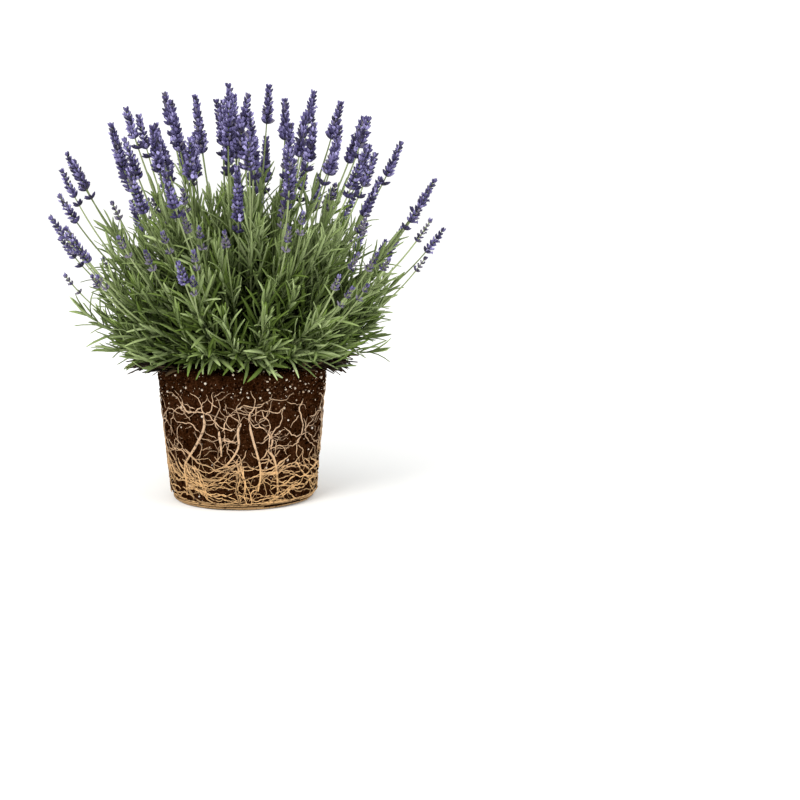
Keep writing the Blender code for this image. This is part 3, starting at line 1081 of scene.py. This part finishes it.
class LAVENDER_OT_root_mat(Operator):
    """Models the mat of roots that sweep round the foot of the ball"""

    bl_idname = "lavender.root_mat"
    bl_label = "Root mat"

    def execute(self, context):
        ball = context.scene.lavender_ball
        dice = random.Random(SEEDS["root_mat"])
        heap = Heap()
        bundle, lowest, slant = 4, 0.007, 0.75
        for _ in range(ball.mat_roots // bundle):
            turn, kind, turning = dice.uniform(0, 360), dice.random(), 0.0
            if kind < 0.52:
                height, heading = dice.uniform(0.018, 0.054), dice.choice((-slant, math.pi + slant))
                turning = math.copysign(slant, math.cos(heading)) / 0.06
                length = dice.uniform(0.05, 0.11)
            elif kind < 0.80:
                height, heading = dice.uniform(0.032, 0.056), -math.pi / 2 + dice.uniform(-0.6, 0.6)
                length = height * dice.uniform(0.8, 1.2)
            else:
                height, heading = dice.uniform(0.008, 0.036), dice.choice((0.0, math.pi))
                heading += dice.uniform(-0.25, 0.25)
                length = dice.uniform(0.03, 0.09)
            for strand in range(bundle):
                plan = (
                    turn + dice.gauss(0, 4.5),
                    height + dice.gauss(0, 0.0045),
                    heading + dice.gauss(0, 0.16),
                    length * dice.uniform(0.7, 1.1),
                )
                path = root_path(dice, *plan, lowest, turning, wander=0.55)
                thick = dice.uniform(0.00042, 0.00088)
                heap.strand(path, taper(path, thick, 0.5), dice.uniform(0.1, 1.0) ** 0.7)
                if strand == 0:
                    fork = dice.choice(path[:-1])
                    side = heading + either_side(dice, 0.5, 1.0)
                    reach = dice.uniform(0.012, 0.035)
                    branch = root_path(dice, turn_of(fork), fork.z, side, reach, lowest)
                    heap.strand(branch, taper(branch, thick * 0.65), dice.uniform(0.2, 1.0), 5)
        heap.piece("root_mat", root_finish(ball, "mat_root"), "root")
        return {"FINISHED"}


class LAVENDER_OT_base_ring(Operator):
    """Models the roots that circle the bottom edge of the ball"""

    bl_idname = "lavender.base_ring"
    bl_label = "Base ring"

    def execute(self, context):
        ball = context.scene.lavender_ball
        dice = random.Random(SEEDS["base_ring"])
        heap = Heap("base_root_ring")
        step, floor_gap = 3, 0.0001
        middle = BASE_RADIUS - RING_THICKNESS / 2
        for strand in range(ball.ring_roots):
            turn = dice.uniform(0, 360)
            span = dice.uniform(150, 330)
            round_it = math.tau * strand / ball.ring_roots
            twist = dice.uniform(-0.02, 0.02)
            thick = dice.uniform(0.00055, 0.00105)
            path = []
            for index in range(int(span / step)):
                angle = round_it + twist * index * step
                wobble = 1 + 0.15 * math.sin(index * 0.31 + strand)
                off = (RING_THICKNESS / 2 - thick) * wobble
                radius = middle + off * math.cos(angle)
                level = ring_low.z + RING_THICKNESS / 2 + off * math.sin(angle)
                path.append(outward(turn + index * step) * radius + UP * max(level, thick + floor_gap))
            heap.strand(path, taper(path, thick, 0.7), dice.uniform(0.1, 1.0))
        heap.piece("circling_roots", root_finish(ball, "circling_root"), "root")
        return {"FINISHED"}


# ---------------------------------------------------------------- wood, leaves and flowers


class LAVENDER_OT_wood(Operator):
    """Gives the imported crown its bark, and models the woody branches that leave it"""

    bl_idname = "lavender.wood"
    bl_label = "Woody crown and branches"

    def execute(self, context):
        bark = wood_finish()
        crown = nodes["woody_crown"]
        crown.data.materials.clear()
        crown.data.materials.append(bark)
        heap = Heap()
        dice = random.Random(SEEDS["wood"])
        every, places, thick = 4, 12, 0.0030
        for stem in all_stems(context.scene.lavender_foliage)[::every]:
            path = stem.stretch(0.0, min(0.34 * stem.length, 0.07), places)
            wander = [p + Vector([dice.gauss(0, 0.0006) for _ in range(3)]) for p in path[1:-1]]
            radii = [thick * (1 - 0.55 * i / 11) * dice.uniform(0.85, 1.15) for i in range(places)]
            heap.strand([path[0], *wander, path[-1]], radii, dice.random(), sides=8)
        heap.piece("woody_branches", bark, "wood")
        return {"FINISHED"}


def leaf_tone(tip, dice):
    """Pale at the outside of the dome of leaves, partly young growth and partly painted light, with painted
    shade deep inside it and low at its sides.
    """
    away = tip - CROWN
    lean = math.degrees(math.acos(away.z / away.length))
    share = away.length / mound_radius(turn_of(away), lean)
    low = 1 - smooth_step(tip.z - RIM_HEIGHT, 0.0, 0.05)
    shade = 0.32 * low * (1 - max(0.0, -away.normalized().y))
    return 0.04 + 0.64 * smooth_step(share, 0.42, 1.0) - shade + dice.gauss(0, 0.15)


def lowest_leaf(tip):
    """How low a leaf may hang: just over the rim at the front, and higher beyond the sides."""
    beyond = smooth_step(math.hypot(tip.x, tip.y), TOP_RADIUS, TOP_RADIUS + 0.07)
    side = 1 - max(0.0, -tip.normalized().y)
    return RIM_HEIGHT + 0.001 + 0.015 * beyond * side


def sector_pieces(heaps, name, material, slot):
    """One piece for each sector, numbered from 1, that holds or replaces anything."""
    for index, heap in enumerate(heaps):
        if heap.points or heap.replaced:
            heap.piece(f"{name}_{index + 1}", material, slot)


def stand_off(along, azimuth, spread):
    """The side of a stem at an azimuth, the direction of what stands off it there, and its top."""
    side = along.cross(Vector(ASIDE)).normalized()
    side.rotate(Matrix.Rotation(math.radians(azimuth), 3, along))
    lean = math.radians(spread)
    direction = along * math.cos(lean) + side * math.sin(lean)
    return side, direction, along * math.sin(lean) - side * math.cos(lean)


def add_leaf(heap, shapes, place, along, azimuth, spread, length, width, dice):
    """One leaf on a stem, turned a little towards the light."""
    lift, thickness = 0.16, 0.34
    _, direction, top = stand_off(along, azimuth, spread)
    direction = (direction + UP * lift).normalized()
    top.rotate(Matrix.Rotation(dice.gauss(0, 0.35), 3, direction))
    tip = place + direction * length
    if tip.z > lowest_leaf(tip):
        matrix = facing(place, direction, top, width, width * thickness, length)
        heap.copy(dice.choice(shapes), matrix, leaf_tone(tip, dice))


def leaf_stem(heap, shapes, stem, plant):
    """Pairs of leaves up a stem, each pair across the one below, and a tuft at its tip."""
    young_leaf_chance, tuft_leaves = 0.26, 6
    dice = random.Random(stem.seed)
    first = min(0.036 + dice.uniform(0, 0.010), stem.leafy_end * 0.5)
    distance = first
    azimuth = dice.uniform(0, 360)
    while distance < stem.leafy_end:
        share = (distance - first) / (stem.leafy_end - first)
        place, along = stem.at(distance)
        fullness = 0.62 + 0.46 * math.sin(math.pi * min(share * 0.92 + 0.14, 1.0))
        length = plant.leaf_length * fullness
        for half in (0, 180):
            around = azimuth + half + dice.gauss(0, 9)
            spread = 47 - 23 * share + dice.gauss(0, 8)
            size = length * dice.uniform(0.84, 1.16)
            width = plant.leaf_width * (0.78 + 0.22 * fullness) * dice.uniform(0.85, 1.12)
            add_leaf(heap, shapes, place, along, around, spread, size, width, dice)
            if dice.random() < young_leaf_chance:
                around += dice.uniform(-40, 40)
                add_leaf(heap, shapes, place, along, around, spread * 0.55, size * 0.5, width * 0.75, dice)
        azimuth += 90 + dice.gauss(0, 7)
        distance += plant.leaf_pitch * (1.15 - 0.45 * share)
    place, along = stem.at(stem.leafy_end)
    if stem.spike_start is None:
        for index in range(tuft_leaves):
            spread = 9 + 5 * (index % 2) + dice.uniform(-3, 3)
            size = plant.leaf_length * dice.uniform(0.42, 0.66)
            around = azimuth + 360 / tuft_leaves * index
            add_leaf(heap, shapes, place, along, around, spread, size, plant.leaf_width * 0.7, dice)


class LAVENDER_OT_leaves(Operator):
    """Sets leaves on every stem, one piece for each sector of the plant"""

    bl_idname = "lavender.leaves"
    bl_label = "Leaves"

    def execute(self, context):
        plant = context.scene.lavender_foliage
        shapes = [leaf_shape(bow) for bow in (-9.0, -4.0, 1.0, 5.0)]
        heaps = [Heap() for _ in range(SECTORS)]
        for stem in all_stems(plant):
            heap = heaps[stem.sector]
            leaf_stem(heap, shapes, stem, plant)
            if stem.number:
                kind = "leafy_shoot" if stem.spike_start else "low_shoot"
                heap.replaced.append(f"{kind}_{stem.number}")
        sector_pieces(heaps, "leaves", leaf_finish(plant), "leaf")
        return {"FINISHED"}


class LAVENDER_OT_old_leaves(Operator):
    """Sets old dry leaves round the rim of the ball, most of them at the two sides, dark with painted shade
    under the skirt of leaves
    """

    bl_idname = "lavender.old_leaves"
    bl_label = "Old leaves"

    def execute(self, context):
        shapes = [leaf_shape(bow) for bow in (-8.0, -3.0, 2.0)]
        dice = random.Random(SEEDS["old_leaves"])
        heap = Heap()
        thickness = 0.0013
        for index in range(context.scene.lavender_foliage.old_leaves):
            turn = dice.choice((0, 180)) + dice.gauss(0, 17) if index % 4 else dice.uniform(0, 360)
            if frontness(turn) > 0.72:
                continue
            out = outward(turn)
            place = out * dice.uniform(0.066, 0.088) + UP * (RIM_HEIGHT + dice.uniform(-0.002, 0.006))
            dive = math.radians(dice.uniform(-24, 0))
            along = out * math.cos(dive) - UP * math.sin(dive)
            along.rotate(Matrix.Rotation(dice.gauss(0, 0.35), 3, UP))
            wide, long = dice.uniform(0.0055, 0.0085), dice.uniform(0.018, 0.031)
            matrix = facing(place, along, UP, wide, thickness, long)
            heap.copy(dice.choice(shapes), matrix, dice.random())
        heap.piece("old_leaves", dry_and_shaded_leaf_finish(), "leaf")
        return {"FINISHED"}


class LAVENDER_OT_stalks(Operator):
    """Models the stems, from the crown to the flower, one piece for each sector of the plant"""

    bl_idname = "lavender.stalks"
    bl_label = "Stems and stalks"

    def execute(self, context):
        plant = context.scene.lavender_foliage
        heaps = [Heap() for _ in range(SECTORS)]
        places = 26
        knots = 1 + 0.06 * np.sin(np.arange(places) * 1.7)
        for stem in all_stems(plant):
            dice = random.Random(stem.seed + 1)
            flowers = stem.spike_start is not None
            end = stem.length - 0.003 if flowers else stem.leafy_end
            foot, tip = (0.0014, 0.00062) if flowers else (0.0016, 0.0006)
            heap = heaps[stem.sector]
            radii = np.linspace(foot, tip, places) * knots
            heap.strand(stem.stretch(0.004, end, places), radii, dice.random())
            if stem.number and flowers:
                heap.replaced.append(f"flower_stalk_{stem.number}")
        sector_pieces(heaps, "stems", stalk_finish(plant), "stalk")
        return {"FINISHED"}


def add_bud(heap, shape, place, along, azimuth, spread, size, girth, tone):
    """One bud or floret on the skin of a stalk."""
    skin = 0.0006
    side, direction, top = stand_off(along, azimuth, spread)
    heap.copy(shape, facing(place + side * skin, direction, top, girth, girth, size), tone)


def bloom(heap, bud, floret, stem, plant):
    """Rings of buds up the end of a stem, fuller where the stem stands more upright."""
    apart_chance, open_chance, dull_chance, faded_length = 0.55, 0.14, 0.15, 0.026
    dice = random.Random(stem.seed + 2)
    chord = Vector(stem.path[-1]) - CROWN
    upright = smooth_step(chord.normalized().z, 0.55, 0.95)
    fullness = 0.2 + upright * dice.uniform(0.4, 0.8)
    length = stem.length - stem.spike_start
    faded = length < faded_length and not stem.number
    rings = max(3, round(length / plant.whorl_pitch))
    azimuth = dice.uniform(0, 360)
    for ring in range(rings):
        share = ring / (rings - 1)
        distance = stem.spike_start + share * (length - 0.0045)
        apart = ring == 0 and dice.random() < apart_chance
        if apart:
            distance -= dice.uniform(0.004, 0.008)
        place, along = stem.at(distance)
        count = round((8.5 + 4.0 * fullness) * (1 - 0.38 * share)) - (2 if apart else 0)
        size = plant.bud_length * (1.10 - 0.36 * share) * (0.86 + 0.36 * fullness - 0.24 * faded)
        azimuth += 180 / count + dice.uniform(-14, 14)
        for index in range(count):
            tone = dice.betavariate(2.0, 1.9)
            if dice.random() < dull_chance or apart:
                tone = 0.2 + tone * 0.2
            if faded:
                tone *= 0.14 if dice.random() < 0.7 else 0.6
            spread = 50 - 24 * share + dice.gauss(0, 6)
            open_now = not apart and share < 0.8 and dice.random() < open_chance
            long = size * dice.uniform(0.85, 1.18)
            around = azimuth + 360 * index / count + dice.gauss(0, 6)
            shape = floret if open_now else bud
            girth = long * (0.34 if open_now else 0.36)
            add_bud(heap, shape, place, along, around, spread, long, girth, tone + open_now * 0.2)
    place, along = stem.at(stem.length - 0.004)
    for index in range(3):
        size = plant.bud_length * dice.uniform(0.62, 0.85)
        tone = dice.uniform(0.3, 0.75)
        add_bud(heap, bud, place, along, azimuth + 120 * index, dice.uniform(7, 18), size, size * 0.42, tone)


class LAVENDER_OT_flower_spikes(Operator):
    """Sets the buds of every spike: a piece for each packed spike, and one for each sector between"""

    bl_idname = "lavender.flower_spikes"
    bl_label = "Flower spikes"

    def execute(self, context):
        plant = context.scene.lavender_foliage
        bud, floret = bud_shape(), floret_shape()
        finish = flower_finish(plant)
        heaps = [Heap() for _ in range(SECTORS)]
        for stem in all_stems(plant):
            if stem.spike_start is None:
                continue
            heap = Heap(f"flower_spike_{stem.number}") if stem.number else heaps[stem.sector]
            bloom(heap, bud, floret, stem, plant)
            if stem.number:
                heap.piece(f"buds_{stem.number}", finish, "flower")
        sector_pieces(heaps, "buds_between", finish, "flower")
        return {"FINISHED"}


# ---------------------------------------------------------------- floor, light and camera


def soft_light(name, place, size, power, colour):
    """A round area light that faces the middle of the plant."""
    aim = Vector((0, 0, 0.2))
    lamp = bpy.data.lights.new(name, "AREA")
    lamp.shape = "DISK"
    lamp.size = size
    lamp.energy = power
    lamp.color = colour
    made = in_scene(name, lamp)
    made.location = place
    made.rotation_euler = (aim - Vector(place)).to_track_quat("-Z", "Y").to_euler()


class LAVENDER_OT_studio(Operator):
    """Sets the plant on a pale floor in soft light and places the camera"""

    bl_idname = "lavender.studio"
    bl_label = "Studio"

    def execute(self, context):
        studio = context.scene.lavender_studio
        floor = start("plane", size=12.0, location=(0, 0, 0))
        bpy.ops.object.mode_set(mode="OBJECT")
        floor.name = "floor"
        finish = Recipe("pale_floor", roughness=0.9)
        speckle = finish.noise(finish.object_place(), 3.0, 2.0)
        finish.surface(finish.scaled(studio.floor, 0.99 + speckle * 0.02))
        floor.data.materials.append(finish.material)
        world = bpy.data.worlds.new("soft_daylight")
        world.use_nodes = True
        sky = world.node_tree.nodes["Background"].inputs
        sky["Color"].default_value = (1, 1, 1, 1)
        sky["Strength"].default_value = 1.15
        context.scene.world = world
        context.scene.view_settings.view_transform = "Standard"
        soft_light("key_light", (-0.9, -1.3, 1.7), 1.0, 30.0, (1.0, 0.98, 0.95))
        soft_light("fill_light", (1.5, -0.9, 0.9), 1.4, 10.0, (0.95, 0.98, 1.0))
        camera = bpy.data.cameras.new("camera")
        camera.lens = studio.lens
        camera.sensor_width = 36.0
        camera.clip_end = 50.0
        made = in_scene("camera", camera)
        back = math.sqrt(studio.camera_distance**2 - studio.camera_height**2)
        down, right = 10.67, 4.84
        made.location = (0, -back, studio.camera_height)
        made.rotation_euler = (math.radians(90 - down), 0, math.radians(-right))
        context.scene.camera = made
        return {"FINISHED"}


STEPS = (
    LAVENDER_OT_soil_ball,
    LAVENDER_OT_crumbs,
    LAVENDER_OT_perlite,
    LAVENDER_OT_main_roots,
    LAVENDER_OT_fine_roots,
    LAVENDER_OT_root_mat,
    LAVENDER_OT_base_ring,
    LAVENDER_OT_wood,
    LAVENDER_OT_leaves,
    LAVENDER_OT_old_leaves,
    LAVENDER_OT_stalks,
    LAVENDER_OT_flower_spikes,
    LAVENDER_OT_studio,
)


class LAVENDER_PT_panel(Panel):
    """Lists the sizes, the colours and the steps of the plant"""

    bl_idname = "LAVENDER_PT_panel"
    bl_label = "Lavender plant"
    bl_space_type = "VIEW_3D"
    bl_region_type = "UI"
    bl_category = "Lavender"

    def draw(self, context):
        layout = self.layout
        for group in (
            context.scene.lavender_foliage,
            context.scene.lavender_ball,
            context.scene.lavender_studio,
        ):
            box = layout.box()
            for key in group.__annotations__:
                box.prop(group, key)
        for step in STEPS:
            layout.operator(step.bl_idname)


GROUPS = {
    "lavender_foliage": LavenderFoliage,
    "lavender_ball": LavenderBall,
    "lavender_studio": LavenderStudio,
}


def register():
    for made in (*GROUPS.values(), *STEPS, LAVENDER_PT_panel):
        bpy.utils.register_class(made)
    for key, group in GROUPS.items():
        setattr(bpy.types.Scene, key, PointerProperty(type=group))


def unregister():
    for key in GROUPS:
        delattr(bpy.types.Scene, key)
    for made in reversed((*GROUPS.values(), *STEPS, LAVENDER_PT_panel)):
        bpy.utils.unregister_class(made)


def main():
    register()
    for step in STEPS:
        getattr(bpy.ops.lavender, step.bl_idname.split(".")[1])()


if __name__ == "__main__":
    main()
